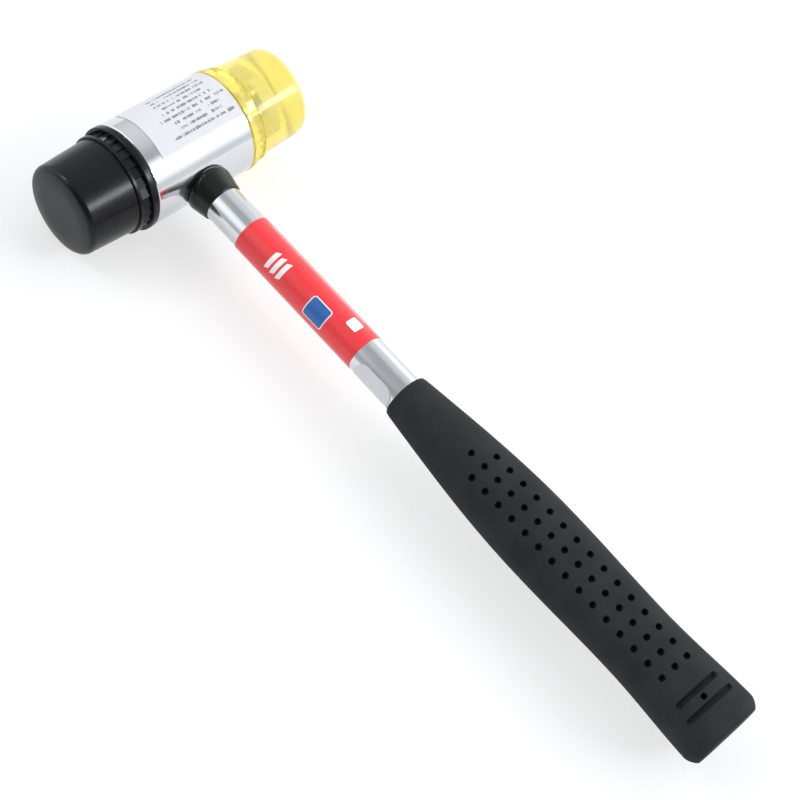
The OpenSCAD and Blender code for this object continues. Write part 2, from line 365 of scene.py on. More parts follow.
@dataclass(frozen=True)
class MouldedRubber(Finish):
    """Black rubber from a mould.

    It gives a near-black satin with the fine grain of the mould and a faint grey bloom in patches.
    The grain is drawn coarser than the real one, which is too fine to show, and the pits of the
    real one swallow part of the mirror light.
    """

    colour: str
    bloom: str
    roughness: Pair
    grain_mm: float
    grain_depth_mm: float
    mirror: float
    bloom_mm: float = 11.0

    def surface(self, node: Adder, place: Socket) -> Inputs:
        """Two blacks mixed by the bloom, with roughness and bump from the grain.

        Args:
            node: adds a node.
            place: place on the piece.

        Returns:
            The shader's inputs.
        """
        grain, bloom = (
            node("TexNoise", {"Vector": place, "Scale": scale, "Detail": detail, "Roughness": 0.6})
            for scale, detail in ((per_mm(self.grain_mm), 3.0), (per_mm(self.bloom_mm), 5.0))
        )
        patch = node("MapRange", {0: bloom, "From Min": 0.35, "From Max": 0.75})
        blacks = {MIX_A: linear(self.colour), MIX_B: linear(self.bloom)}
        colour = node("Mix", {0: patch} | blacks, **COLOURS)
        rough = node("MapRange", {0: grain, "From Min": 0.25, "From Max": 0.75,
                                  "To Min": self.roughness[0], "To Max": self.roughness[1]})
        depth = self.grain_depth_mm * MM
        bump = node("Bump", {"Height": grain, "Strength": 0.5, "Distance": depth})
        return {"Base Color": colour, "Roughness": rough, "Normal": bump, "IOR": 1.52,
                "Specular IOR Level": self.mirror}


@dataclass(frozen=True)
class ClearPlastic(Finish):
    """Clear yellow plastic, moulded and polished.

    It lets the stud show through a slight milky haze, deepens to a stronger yellow where the
    light's path is long, and has the faint flow marks of the mould in its surface.
    """

    tint: str
    depth_tint: str
    density: float
    clearness: float
    flow_mm: float = 5.0

    def surface(self, node: Adder, place: Socket) -> Inputs:
        """Clear shader with flow marks in its roughness and as a soft bump.

        Args:
            node: adds a node.
            place: place on the piece.

        Returns:
            The shader's inputs.
        """
        flow = node("TexNoise", {"Vector": place, "Scale": per_mm(self.flow_mm), "Detail": 2.0,
                                 "Distortion": 0.6})
        rough = node("MapRange", {0: flow, "From Min": 0.3, "From Max": 0.7,
                                  "To Min": 0.06, "To Max": 0.13})
        bump = node("Bump", {"Height": flow, "Strength": 0.12, "Distance": 0.4 * MM})
        return {"Base Color": linear(self.tint), "Roughness": rough, "Normal": bump,
                "Transmission Weight": self.clearness, "IOR": 1.48}

    def volume(self, node: Adder) -> Inputs:
        """Inside that takes up part of the light on its way."""
        inside = {"Color": linear(self.depth_tint), "Density": self.density}
        return {"Volume": node("VolumeAbsorption", inside)}


@dataclass(frozen=True)
class ZincSteel(Finish):
    """Steel with a bright zinc plate: a soft grey metal with a crystalline mottle."""

    mottle_mm: float = 1.2

    def surface(self, node: Adder, place: Socket) -> Inputs:
        """Metal whose colour and roughness follow a cell pattern.

        Args:
            node: adds a node.
            place: place on the piece.

        Returns:
            The shader's inputs.
        """
        cells = node("TexVoronoi", {"Vector": place, "Scale": per_mm(self.mottle_mm)})
        tone = node("Mix", {0: cells, MIX_A: linear("CCCBC4"), MIX_B: linear("E0DFD8")}, **COLOURS)
        rough = node("MapRange", {0: cells, "To Min": 0.16, "To Max": 0.26})
        return {"Base Color": tone, "Roughness": rough, "Metallic": 1.0}


@dataclass(frozen=True)
class PressedFibre(Finish):
    """Vulcanised fibre, punched from sheet: a dull red-brown with short pale fibres in it."""

    fibre_mm: float = 0.8

    def surface(self, node: Adder, place: Socket) -> Inputs:
        """Two browns mixed by a stretched noise, which also bumps the surface.

        Args:
            node: adds a node.
            place: place on the piece.

        Returns:
            The shader's inputs.
        """
        drawn = node("Mapping", {"Vector": place, "Scale": (1.0, 0.3, 1.0)})
        fibre = node("TexNoise", {"Vector": drawn, "Scale": per_mm(self.fibre_mm), "Detail": 5.0})
        tone = node("Mix", {0: fibre, MIX_A: linear("6E2A1E"), MIX_B: linear("9A5140")}, **COLOURS)
        bump = node("Bump", {"Height": fibre, "Strength": 0.4, "Distance": 0.1 * MM})
        return {"Base Color": tone, "Normal": bump, "Roughness": 0.8}


@dataclass(frozen=True)
class Panel:
    """Printed panel on a label: a box with round corners, in millimetres from the label's middle.

    The second coordinate runs along the handle, and slant leans the box's long side.
    """

    centre: Pair
    half: Pair
    corner: float
    colour: str
    slant: float = 0.0
    soft_mm: float = 0.05

    def mask(self, node: Adder, spot: Socket) -> Socket:
        """Mask of the panel.

        The distance from a box with round corners is the length of what is left of the point's
        place, made positive, when the box's straight half sizes are taken off, less the corner's
        radius. The mask falls from 1 to 0 over a tenth of a millimetre at the box's edge.

        Args:
            node: adds a node to the label's material.
            spot: place on the label in millimetres.

        Returns:
            The mask.
        """
        moved = node("VectorMath", {0: spot, 1: (*self.centre, 0.0)}, operation="SUBTRACT")
        across, down, _ = node("SeparateXYZ", {0: moved}).node.outputs
        lean = node("Math", {0: down, 1: self.slant, 2: across}, operation="MULTIPLY_ADD")
        size = node("VectorMath", {0: node("CombineXYZ", {0: lean, 1: down})}, operation="ABSOLUTE")
        straight = (self.half[0] - self.corner, self.half[1] - self.corner, 0.0)
        past = node("VectorMath", {0: size, 1: straight}, operation="SUBTRACT")
        outside = node("VectorMath", {0: past, 1: (0.0, 0.0, 0.0)}, operation="MAXIMUM")
        length = node("VectorMath", {0: outside}, "Value", operation="LENGTH")
        return node("MapRange", {0: length, "From Min": self.corner - self.soft_mm, "To Min": 1.0,
                                 "From Max": self.corner + self.soft_mm, "To Max": 0.0})


@dataclass(frozen=True)
class PrintedFilm(Finish):
    """Vinyl film, printed and glued on: an even, strong colour under a thin, rippled gloss."""

    ground: str
    size: Pair
    panels: tuple[Panel, ...]
    ripple_mm: float = 7.0

    def surface(self, node: Adder, place: Socket) -> Inputs:
        """Ground colour with each panel laid over it, and a soft ripple as bump.

        Args:
            node: adds a node.
            place: place on the piece.

        Returns:
            The shader's inputs.
        """
        uv = node("UVMap", uv_map=UV_NAME)
        corner = (-self.size[0] / 2, -self.size[1] / 2, 0.0)
        spot = node("Mapping", {"Vector": uv, "Location": corner, "Scale": (*self.size, 1.0)})
        ripple = node("TexNoise", {"Vector": place, "Scale": per_mm(self.ripple_mm), "Detail": 2.0})
        shade = node("MapRange", {0: ripple, "To Min": 0.93, "To Max": 1.07})
        colour = node("VectorMath", {0: linear(self.ground)[:3], 1: shade}, operation="MULTIPLY")
        for panel in self.panels:
            mask = panel.mask(node, spot)
            colour = node("Mix", {0: mask, MIX_A: colour, MIX_B: linear(panel.colour)}, **COLOURS)
        bump = node("Bump", {"Height": ripple, "Strength": 0.1, "Distance": 0.3 * MM})
        return {"Base Color": colour, "Normal": bump, "Roughness": 0.3, "IOR": 1.5,
                "Coat Weight": 0.3, "Coat Roughness": 0.12}


@dataclass(frozen=True)
class CoatedPaper(Finish):
    """Coated label paper: an off-white with a faint fibre mottle, and rows of small grey marks.

    The marks stand for lines of small print and hold no letters: upright strokes whose presence
    and height come from a random number for each cell of a row, with some longer cells left bare.
    """

    size: Pair
    row_mm: float
    rows: Pair
    span: Pair
    tones: tuple[str, str] = ("D0D2D6", "DEDFE3")
    fibre_mm: float = 1.1
    mark_mm: float = 0.34
    mark_share: float = 0.7
    mark_heights: Pair = (0.26, 0.13)
    gap_mm: float = 1.15
    gap_share: float = 0.13
    gap_seed: float = 7.0
    indent_mm: float = 5.0
    ink: float = 0.75

    def surface(self, node: Adder, place: Socket) -> Inputs:
        """Paper colour from a fibre noise, darkened where the marks are.

        Args:
            node: adds a node.
            place: place on the piece.

        Returns:
            The shader's inputs.
        """
        fibre = node("TexNoise", {"Vector": place, "Scale": per_mm(self.fibre_mm), "Detail": 4.0})
        tones = dict(zip((MIX_A, MIX_B), map(linear, self.tones)))
        paper = node("Mix", {0: fibre} | tones, **COLOURS)
        uv = node("UVMap", uv_map=UV_NAME)
        spot = node("Mapping", {"Vector": uv, "Scale": (*self.size, 1.0)})
        across, down, _ = node("SeparateXYZ", {0: spot}).node.outputs
        row = node("Math", {0: down, 1: self.row_mm}, operation="DIVIDE")
        row_no = node("Math", {0: row}, operation="FLOOR")
        within_row = node("Math", {0: row}, operation="FRACT")
        draws = []
        for cell_mm, seed in ((self.mark_mm, 0.0), (self.gap_mm, self.gap_seed)):
            cell = node("Math", {0: across, 1: cell_mm}, operation="DIVIDE")
            cell_no = node("Math", {0: cell}, operation="FLOOR")
            cell_row = node("CombineXYZ", {0: cell_no, 1: row_no, 2: seed})
            draws.append(node("TexWhiteNoise", {"Vector": cell_row}))
        chance, gap = draws
        tall = node("MapRange", {0: chance, "From Max": self.mark_share,
                                 "To Min": self.mark_heights[0], "To Max": self.mark_heights[1]})
        reach = node("TexWhiteNoise", {"W": row_no}, noise_dimensions="1D")
        indent = node("Math", {0: reach, 1: self.indent_mm}, operation="MULTIPLY")
        low = node("Math", {0: indent, 1: self.span[0]}, operation="ADD")
        high = node("Math", {0: self.span[1], 1: indent}, operation="SUBTRACT")
        limits = (("LESS_THAN", chance, self.mark_share), ("GREATER_THAN", gap, self.gap_share),
                  ("GREATER_THAN", across, low), ("LESS_THAN", across, high),
                  ("GREATER_THAN", down, self.rows[0]), ("LESS_THAN", down, self.rows[1]))
        mark = node("Math", {0: within_row, 1: 0.5, 2: tall}, operation="COMPARE")
        for operation, value, limit in limits:
            test = node("Math", {0: value, 1: limit}, operation=operation)
            mark = node("Math", {0: mark, 1: test}, operation="MULTIPLY")
        inked = node("Math", {0: mark, 1: self.ink}, operation="MULTIPLY")
        colour = node("Mix", {0: inked, MIX_A: paper, MIX_B: linear("55565C")}, **COLOURS)
        bump = node("Bump", {"Height": fibre, "Strength": 0.15, "Distance": 0.1 * MM})
        return {"Base Color": colour, "Normal": bump, "Roughness": 0.5}


@dataclass(frozen=True)
class OpalAcrylic(Finish):
    """Matt opal sheet of a light table: light comes from below too, so shadows stay faint."""

    mottle_mm: float = 1.5
    light_from_below: float = 0.6

    def surface(self, node: Adder, place: Socket) -> Inputs:
        """Pale with a faint mottle, and lit from below.

        Args:
            node: adds a node.
            place: place on the piece.

        Returns:
            The shader's inputs.
        """
        mottle = node("TexNoise", {"Vector": place, "Scale": per_mm(self.mottle_mm)})
        tone = node("Mix", {0: mottle, MIX_A: linear("9B9B9B"), MIX_B: linear("9E9E9E")}, **COLOURS)
        return {"Base Color": tone, "Roughness": 0.9, "Emission Color": linear("FFFFFF"),
                "Emission Strength": self.light_from_below}


# Pieces of the head


@dataclass
class Head:
    """Plated head body and the washers in its ends, shown as their CAD solids."""

    plate: Finish = ChromePlate("bright_chrome_plate_turned", (1.0, 0.06, 0.06))
    fibre: Finish = PressedFibre("pressed_fibre")

    def build(self) -> None:
        """Gives the solids their finishes."""
        dress_node("head_body", self.plate.material())
        fibre = self.fibre.material()
        for node in ("black_face_washer", "yellow_face_washer"):
            dress_node(node, fibre)


@dataclass
class ScrewFace:
    """Screw-on face and the stud that is moulded into it."""

    side: Side
    body: Body
    finish: Finish
    slot: str
    pocket_gap: float
    head_half: float = 21.3
    length: float = 27.7
    seat_gap: float = 0.05
    flange_r: float = 19.39
    flange_w: float = 2.6
    flange_edge: float = 0.42
    band_w: float = 4.6
    band_r: float = 18.3
    notch_w: float = 3.5
    notch_top_r: float = 18.25
    notch_root_r: float = 17.6
    notch_count: int = 30
    body_root_r: float = 17.5
    body_tip_r: float = 16.75
    edge: float = 2.2
    crown: float = 0.5
    flat_r: float = 9.0
    stud_r: float = 4.0
    stud_reach: float = 11.5
    thread_pitch: float = 1.25
    thread_depth: float = 0.65
    hex_w: float = 16.0
    hex_h: float = 5.0
    hex_seat: float = 12.6
    hex_turn: float = 30.0
    # Length of the step from the notches to the band, and steps of the band's rounded lip
    notch_step: float = 0.1
    lip: Pair = (0.04, 0.12)
    # Where the stud's plain shank starts, and how much thinner the thread's tip is
    shank_start: float = 0.4
    tip_taper: float = 0.5
    # Angle at which the round of the striking edge goes over into the crown
    edge_stop: float = 10.0
    flange_rows: int = 6
    notch_rows: int = 8
    band_rows: int = 6
    body_rows: int = 12
    crown_rows: int = 8
    notch_columns: int = 12
    thread_columns: int = 72
    thread_rows: int = 16

    @property
    def label(self) -> str:
        """Colour in the names of the face's pieces."""
        return self.side.name.lower()

    def turned(self, along: Array, radius: Array, angle: Array) -> Array:
        """Places rings round the head's axis on this end of the head.

        A ring's point stands its distance along from the head's end face, and its radius times the
        sine and cosine of its angle from the axis.

        Args:
            along: distance of each ring or point from the head's end face.
            radius: distance of each point from the axis.
            angle: angle of each column in radians.

        Returns:
            Points of shape (rings, columns, 3).
        """
        end = self.side.value
        x = np.broadcast_to(end * (self.head_half + along), radius.shape)
        return np.stack((x, radius * np.sin(angle), -end * radius * np.cos(angle)), -1)

    def hexagon(self, angle: Array, width: float) -> Array:
        """Radius of a hexagon: half its width over the cosine of the angle from a flat's middle."""
        sixth = math.pi / 3
        return width / 2 / np.cos(np.mod(angle + math.radians(self.hex_turn), sixth) - sixth / 2)

    def notched(self, angle: Array) -> Array:
        """Radius of the notched ring: its notches are flats, with a step back up at their end.

        A flat between two corners of unlike radii has a radius of their product times the sine of
        the angle between them, over the first one times the sine of the angle passed plus the
        second one times the sine of the angle left.

        Args:
            angle: angle of each column in radians.

        Returns:
            One radius for each column.
        """
        pitch = 2 * math.pi / self.notch_count
        flat = pitch * (1 - 1 / self.notch_columns)
        passed = np.mod(angle + TINY, pitch)
        top, root = self.notch_top_r, self.notch_root_r
        return top * root * math.sin(flat) / (top * np.sin(passed) + root * np.sin(flat - passed))

    def profile(self) -> Array:
        """Outline of the face from its seat to the middle of its striking end.

        Flange with two rounded edges, notches, plain band, tapered body, rounded striking edge and
        a crown that falls with the square of the distance from the flat middle.

        Returns:
            Rows of distance along the axis, distance from it, and 1 where the notches are.
        """
        edge, steps = self.flange_edge, self.flange_rows
        edge_r = self.flange_r - edge
        notch_end = self.flange_w + self.notch_w
        band_end = self.flange_w + self.band_w
        flange = np.concatenate((arc((self.seat_gap + edge, edge_r), edge, 180, 90, steps),
                                 arc((self.flange_w - edge, edge_r), edge, 90, 0, steps)))
        band_r, (lip_in, lip_out) = self.band_r, self.lip
        notches = np.linspace((self.flange_w, band_r), (notch_end - self.notch_step, band_r),
                              self.notch_rows)
        band = np.linspace((notch_end, band_r), (band_end - lip_out, band_r), self.band_rows)
        lip = np.array(((band_end - lip_in, band_r - lip_in), (band_end, band_r - lip_out)))
        edge_z = self.length - self.crown - self.edge
        taper = np.linspace((band_end, self.body_root_r), (edge_z, self.body_tip_r), self.body_rows)
        rounded = arc((edge_z, self.body_tip_r - self.edge), self.edge, 90, self.edge_stop,
                      self.body_rows)[1:]
        crown_r = np.linspace(rounded[-1, 1], self.flat_r, self.crown_rows)[1:]
        fall = (self.length - rounded[-1, 0]) / (rounded[-1, 1] - self.flat_r) ** 2
        crown = np.column_stack((self.length - fall * (crown_r - self.flat_r) ** 2, crown_r))
        flat = np.array(((self.length, self.flat_r / 2), (self.length, 0.0)))
        rows = np.concatenate((flange, notches, band, lip, taper, rounded, crown, flat))
        place = np.arange(len(rows)) - len(flange)
        return np.column_stack((rows, (place >= 0) & (place < len(notches))))

    def build_face(self) -> None:
        """Makes the face: its pocket round the stud, then its outline carried round the axis."""
        columns = self.notch_count * self.notch_columns
        angle = np.arange(columns) * 2 * math.pi / columns
        gap = self.pocket_gap
        hexagon = self.hexagon(angle, self.hex_w + 2 * gap)
        low, high = self.hex_seat - gap, self.hex_seat + self.hex_h + gap
        bore = np.full(columns, self.stud_r + gap)
        pocket_r = np.stack((0 * hexagon, hexagon / 2, hexagon, hexagon, bore, bore))
        pocket_z = np.array((high, high, high, low, low, self.seat_gap))
        rows = self.profile()
        radius = np.where(rows[:, 2:3] > 0, self.notched(angle), rows[:, 1:2])
        along = np.concatenate((pocket_z, rows[:, 0]))[:, None]
        rings = self.turned(along, np.concatenate((pocket_r, radius)), angle)
        piece = make_piece(f"{self.label}_face_moulding", skin(rings), self.finish.material())
        # Light reaches the stud and the floor through the clear plastic
        piece.visible_shadow = not isinstance(self.finish, ClearPlastic)
        install(piece, self.body, f"{self.label}_face")

    def build_stud(self, steel: bpy.types.Material) -> None:
        """Makes the stud: a right-hand thread, a plain shank and a hexagon.

        The thread's radius follows a triangle wave of the distance along in pitches less the
        angle in turns, faded out over the last half pitch at its tip.

        Args:
            steel: finish of the stud.
        """
        angle = np.arange(self.thread_columns) * 2 * math.pi / self.thread_columns
        count = int(self.stud_reach / self.thread_pitch * self.thread_rows)
        along = np.linspace(-self.stud_reach, 0, count)[:, None]
        phase = np.mod(along / self.thread_pitch - angle / (2 * math.pi), 1)
        wave = np.abs(2 * phase - 1)
        tip = np.clip((along + self.stud_reach) / self.thread_pitch * 2, 0, 1)
        thread = self.stud_r - self.thread_depth * (1 - wave * tip) - self.tip_taper * (1 - tip)
        hexagon = self.hexagon(angle, self.hex_w)
        shank = np.full_like(angle, self.stud_r)
        seat, top = self.hex_seat, self.hex_seat + self.hex_h
        heights = np.concatenate((along[:1, 0], along[:, 0],
                                  (self.shank_start, seat, seat, top, top, top)))
        upper = np.stack((shank, shank, hexagon, hexagon, hexagon / 2, 0 * hexagon))
        radius = np.concatenate((thread[:1] * 0, thread, upper))
        rings = self.turned(heights[:, None], radius, angle)
        piece = make_piece(f"{self.label}_face_threaded_stud", skin(rings), steel)
        install(piece, self.body, f"{self.label}_face_stud")


# Pieces of the handle


@dataclass
class NeckCollar:
    """Rubber collar where the handle enters the head, hollowed on top to sit on the head."""

    seat_r: float = 19.3
    bore_r: float = 7.15
    top_r: float = 9.3
    low_r: float = 7.8
    taper_from: float = 19.25
    end: float = 27.5
    # Inset and drop of the rounded upper edge
    top_edge: Pair = (1.2, 3.2)
    low_edge: float = 0.6
    end_rows: int = 6
    wall_rows: int = 14
    rim_rows: int = 13
    seat_rows: int = 5
    columns: int = 160
    finish: Finish = MouldedRubber("moulded_collar_rubber", "1A1C1B", "222423", (0.1, 0.14),
                                   grain_mm=0.9, grain_depth_mm=0.004, mirror=0.24)

    def build(self) -> None:
        """Makes the collar as a closed section carried round the handle.

        A row near the top is measured from the saddle, where the distance down the handle is the
        root of the seat's radius squared less the squared distance from the middle plane. Rows
        further down run evenly from there to the lower end.
        """
        angle = np.arange(self.columns) * 2 * math.pi / self.columns
        low = arc((self.end - self.low_edge, self.low_r - self.low_edge), self.low_edge, 0, 90,
                  self.end_rows)
        edge = np.radians(np.linspace(0, 90, self.rim_rows))
        rim_in = self.top_edge[0] * (1 - np.cos(edge))[:, None]
        rim_drop = self.top_edge[1] * (1 - np.sin(edge))[:, None]
        wall_share = np.linspace(0, 1, self.wall_rows)[1:-1, None]
        seat_share = np.linspace(0, 1, self.seat_rows)[1:-1, None]
        bore_share = np.linspace(0, 1, self.end_rows)[:, None]
        slope = (self.top_r - low[-1, 1]) / (low[-1, 0] - self.taper_from)
        wide = np.ones(self.columns)

        def saddle(radius: Array) -> Array:
            """Distance down the handle of the head's surface, for rows of radii."""
            return np.sqrt(self.seat_r**2 - (radius * np.sin(angle)) ** 2)

        def wall(distance: Array) -> Array:
            """Radius of the wall: straight at the top, then a cone down to the lower end."""
            return np.minimum(self.top_r, low[-1, 1] + slope * (low[-1, 0] - distance))

        bore_r = self.bore_r * np.ones((self.end_rows, self.columns))
        bore_y = saddle(bore_r) * (1 - bore_share) + self.end * bore_share
        rim_y = saddle(self.top_r - rim_in) + rim_drop
        rim_r = wall(rim_y) - rim_in
        wall_y = low[-1, 0] + (rim_y[0] - low[-1, 0]) * wall_share
        seat_r = rim_r[-1] + (self.bore_r - rim_r[-1]) * seat_share
        radius = np.concatenate((bore_r, low[:, 1:] * wide, wall(wall_y), rim_r, seat_r))
        along = np.concatenate((bore_y, low[:, :1] * wide, wall_y, rim_y, saddle(seat_r)))
        rings = np.stack((radius * np.cos(angle), -along, radius * np.sin(angle)), -1)
        piece = make_piece("neck_collar_rubber", skin(rings, loop=True), self.finish.material())
        install(piece, Body.HAMMER, "neck_collar")


@dataclass
class HandleTube:
    """Plated tube and the plug inside its upper end, shown as their CAD solids."""

    plate: Finish = ChromePlate("bright_chrome_plate_drawn", (0.4, 0.02, 0.4))

    def build(self, steel: bpy.types.Material) -> None:
        """Gives the solids their finishes."""
        dress_node("handle_tube", self.plate.material())
        dress_node("tube_plug", steel)


@dataclass
class Grip:
    """Rubber grip with three rows of dimples and two cross grooves on each broad side."""

    start: float = 121.4
    end: float = 273.0
    turn: float = 15.0
    # Width and thickness
    neck: Pair = (17.0, 16.8)
    belly: Pair = (27.0, 23.6)
    waist: Pair = (25.6, 22.6)
    butt: Pair = (28.7, 25.2)
    belly_share: float = 0.45
    waist_share: float = 0.73
    section_share: float = 0.4
    powers: Pair = (2.0, 2.4)
    upper_edge: float = 0.8
    # Length and inset
    chamfer: Pair = (4.7, 2.3)
    # Shares of the chamfer's length and inset that round its end into the butt's flat
    butt_corner: tuple[Pair, ...] = ((0.947, 0.909), (0.979, 1.013), (0.996, 1.13), (1.0, 1.26))
    bend_share: float = 0.9
    # Rings on the butt's flat, as shares of its size
    butt_shares: tuple[float, ...] = (0.93, 0.6, 0.3, 0)
    bore_r: float = 7.15
    bore_end: float = 261.7
    bore_rows: Pair = (220.0, 170.0)
    dimple_start: float = 153.3
    dimple_pitch: float = 6.25
    dimple_count: int = 16
    dimple_row: float = 5.4
    dimple_depth: float = 2.5
    cell: float = 1.6
    groove_at: Pair = (256.8, 262.6)
    groove_half: Pair = (8.5, 9.5)
    groove_r: float = 1.22
    groove_core: float = 0.58
    groove_deep: float = 1.7
    # Rings from a groove's middle outwards, as shares of its radius
    groove_rows: tuple[float, ...] = (0, 0.3, 0.55, 0.75, 0.88, 0.96, 1.0, 1.03)
    vent_at: float = 259.7
    vent_depth: float = 4.5
    vent_scale: float = 0.91
    band: float = 7.5
    band_full_half: float = 11.4
    side_columns: int = 36
    cell_lines: int = 13
    gap_lines: int = 5
    neck_rows: int = 30
    bare_rows: int = 6
    bend_rows: int = 10
    finish: Finish = MouldedRubber("moulded_grip_rubber", "2B2C2D", "343435", (0.66, 0.78),
                                   grain_mm=1.0, grain_depth_mm=0.02, mirror=0.05)
    # Rings of a dimple, evenly over its grid cell: their radii, and shares of the depth there
    ring_radii: tuple[float, ...] = (0, 0.62, 1.05, 1.13, 1.22, 1.36, 1.6)
    ring_depths: tuple[float, ...] = (1, 1, 0.92, 0.13, 0, -0.015, 0)

    def half_size(self, distance: Array, axis: int) -> Array:
        """Half the width or thickness: a quarter wave to the belly, half waves to waist and butt.

        Args:
            distance: distances from the head's axis.
            axis: 0 for the width and 1 for the thickness.

        Returns:
            Half sizes.
        """
        share = np.clip((distance - self.start) / (self.end - self.start), 0, 1)
        sizes = (self.neck, self.belly, self.waist, self.butt)
        neck, belly, waist, butt = (size[axis] for size in sizes)
        rise = neck + (belly - neck) * np.sin(np.pi / 2 * np.clip(share / self.belly_share, 0, 1))
        to_waist = eased((share - self.belly_share) / (self.waist_share - self.belly_share))
        to_butt = eased((share - self.waist_share) / (1 - self.waist_share))
        return (rise + (waist - belly) * to_waist + (butt - waist) * to_butt) / 2

    def power(self, distance: Array) -> Array:
        """Power of the section: half a cosine wave from the neck's ellipse to a squarer form."""
        share = (distance - self.start) / (self.end - self.start) / self.section_share
        return self.powers[0] + (self.powers[1] - self.powers[0]) * eased(share)

    def lines(self, pitch: float) -> tuple[Array, Array]:
        """Places of grid lines over a dimple's cell, and in the gap between it and the next one."""
        return (self.cell * np.linspace(-1, 1, self.cell_lines),
                np.linspace(self.cell, pitch - self.cell, self.gap_lines)[1:-1])

    def rows(self) -> Array:
        """Spaces the rings, closer together at the dimples, the grooves and the butt.

        Returns:
            Distances of the rings from the head's axis.
        """
        cell, gap = self.lines(self.dimple_pitch)
        station = self.dimple_start + self.dimple_pitch * np.arange(self.dimple_count)
        dimples = (station[:, None] + np.concatenate((cell, gap))).ravel()[: -len(gap)]
        neck = np.linspace(self.start + self.upper_edge, dimples[0], self.neck_rows)[1:-1]
        channel = self.groove_r * np.array(self.groove_rows)
        channel = np.concatenate((-channel[:0:-1], channel))
        grooves = np.concatenate([at + channel for at in self.groove_at])
        bare = np.linspace(dimples[-1], grooves[0], self.bare_rows)[1:-1]
        butt = np.linspace(grooves[-1], self.end - self.chamfer[0], self.bare_rows)[1:-1]
        return np.sort(np.concatenate((neck, dimples, bare, grooves, self.vent_at + cell, butt)))

    def columns(self) -> Array:
        """Spaces the columns across a broad side, closer together at the dimples.

        Returns:
            Distances of the columns from the side's middle.
        """
        cell, gap = self.lines(self.dimple_row)
        right = np.concatenate((gap, self.dimple_row + cell, (self.band,)))
        return np.concatenate((-right[::-1], cell, right))

    def dimpled(self, distance: Array, across: Array, vented: bool) -> tuple[Array, Array, Array]:
        """Moves grid points round the dimples into rings, and gives the dimples' depth there.

        The squares of grid lines about a dimple become circles: a point moves along its own
        direction from the dimple's middle to the radius that its square stands for. The outermost
        square stays as it is and so joins the rest of the grid.

        Args:
            distance: distances from the head's axis, as a grid.
            across: distances across the broad side, as a grid.
            vented: adds the vent hole.

        Returns:
            Moved distances along, moved distances across, and depths.
        """
        number = np.round((distance - self.dimple_start) / self.dimple_pitch)
        number = np.clip(number, 0, self.dimple_count - 1)
        row = np.clip(np.round(across / self.dimple_row), -1, 1)
        middle, off = self.dimple_start + number * self.dimple_pitch, row * self.dimple_row
        there = number >= np.abs(row)
        scale, depth = np.ones_like(distance), np.full_like(distance, self.dimple_depth)
        if vented:
            vent = (np.abs(distance - self.vent_at) < self.cell + TINY) & (row == 0)
            middle, there = np.where(vent, self.vent_at, middle), there | vent
            depth = np.where(vent, self.vent_depth, depth)
            scale = np.where(vent, self.vent_scale, scale)
        du, dv = (distance - middle) / self.cell, (across - off) / self.cell
        square = np.maximum(np.abs(du), np.abs(dv))
        inside = there & (square < 1 - TINY)
        length = np.maximum(np.hypot(du, dv), TINY)
        shares = np.linspace(0, 1, len(self.ring_radii))
        radius = np.interp(square, shares, self.ring_radii) * scale
        moved_d = np.where(inside, middle + du / length * radius, distance)
        moved_a = np.where(inside, off + dv / length * radius, across)
        depth = np.where(inside, np.interp(square, shares, self.ring_depths) * depth, 0)
        return moved_d, moved_a, depth

    def groove_depth(self, distance: Array, across: Array) -> Array:
        """Depth of the cross grooves: channels with round ends and soft lips.

        The depth is full near the groove's middle line, and falls to none at its radius along a
        smooth step: three times the square less twice the cube of the share of the way.

        Args:
            distance: distances from the head's axis.
            across: distances across the broad side.

        Returns:
            Depths.
        """
        depth = np.zeros_like(distance)
        for at, half in zip(self.groove_at, self.groove_half):
            past = np.maximum(np.abs(across) - (half - self.groove_r), 0)
            off = np.hypot(distance - at, past) / self.groove_r
            share = np.clip((1 - off) / (1 - self.groove_core), 0, 1)
            depth = np.maximum(depth, self.groove_deep * share**2 * (3 - 2 * share))
        return depth

    def broad_side(self, distance: Array, sign: int) -> Array:
        """Grid of one broad side, with its dimples and grooves.

        The height is the thickness times one less the share across to the section's power, all to
        one over that power.

        Args:
            distance: distances of the rings.
            sign: 1 for the upper side and -1 for the lower one.

        Returns:
            Points across, through and along the grip.
        """
        narrow = np.minimum(1, self.half_size(distance, 0) / self.band_full_half)
        across = narrow[:, None] * self.columns()
        along = np.broadcast_to(distance[:, None], across.shape)
        along, across, depth = self.dimpled(along, across, sign > 0)
        power = self.power(along)
        share = np.clip(np.abs(across) / self.half_size(along, 0), 0, 1)
        height = self.half_size(along, 1) * (1 - share**power) ** (1 / power)
        height = height - depth - self.groove_depth(along, across)
        return np.stack((across, sign * height, along), -1)

    def edge_side(self, distance: Array, sign: int) -> Array:
        """Grid of one narrow side, from the upper broad side round to the lower one.

        The section's angle runs evenly from where the broad side ends. A point's width and height
        are the half sizes times the cosine and sine of that angle, to two over the section's power.

        Args:
            distance: distances of the rings.
            sign: 1 for the side at positive widths and -1 for the other.

        Returns:
            Points across, through and along the grip.
        """
        half_w, half_t = self.half_size(distance, 0), self.half_size(distance, 1)
        power = self.power(distance)
        first = self.band * np.minimum(1, half_w / self.band_full_half) / half_w
        reach = np.arccos(first ** (power / 2))[:, None]
        angle = reach * np.linspace(1, -1, self.side_columns + 2)[1:-1]
        root = 2 / power[:, None]
        across = half_w[:, None] * np.cos(angle) ** root
        height = half_t[:, None] * np.sign(angle) * np.abs(np.sin(angle)) ** root
        along = np.broadcast_to(distance[:, None], across.shape)
        groove = self.groove_depth(along, across) * np.abs(np.sin(angle))
        return np.stack((sign * across, height - np.sign(height) * groove, along), -1)

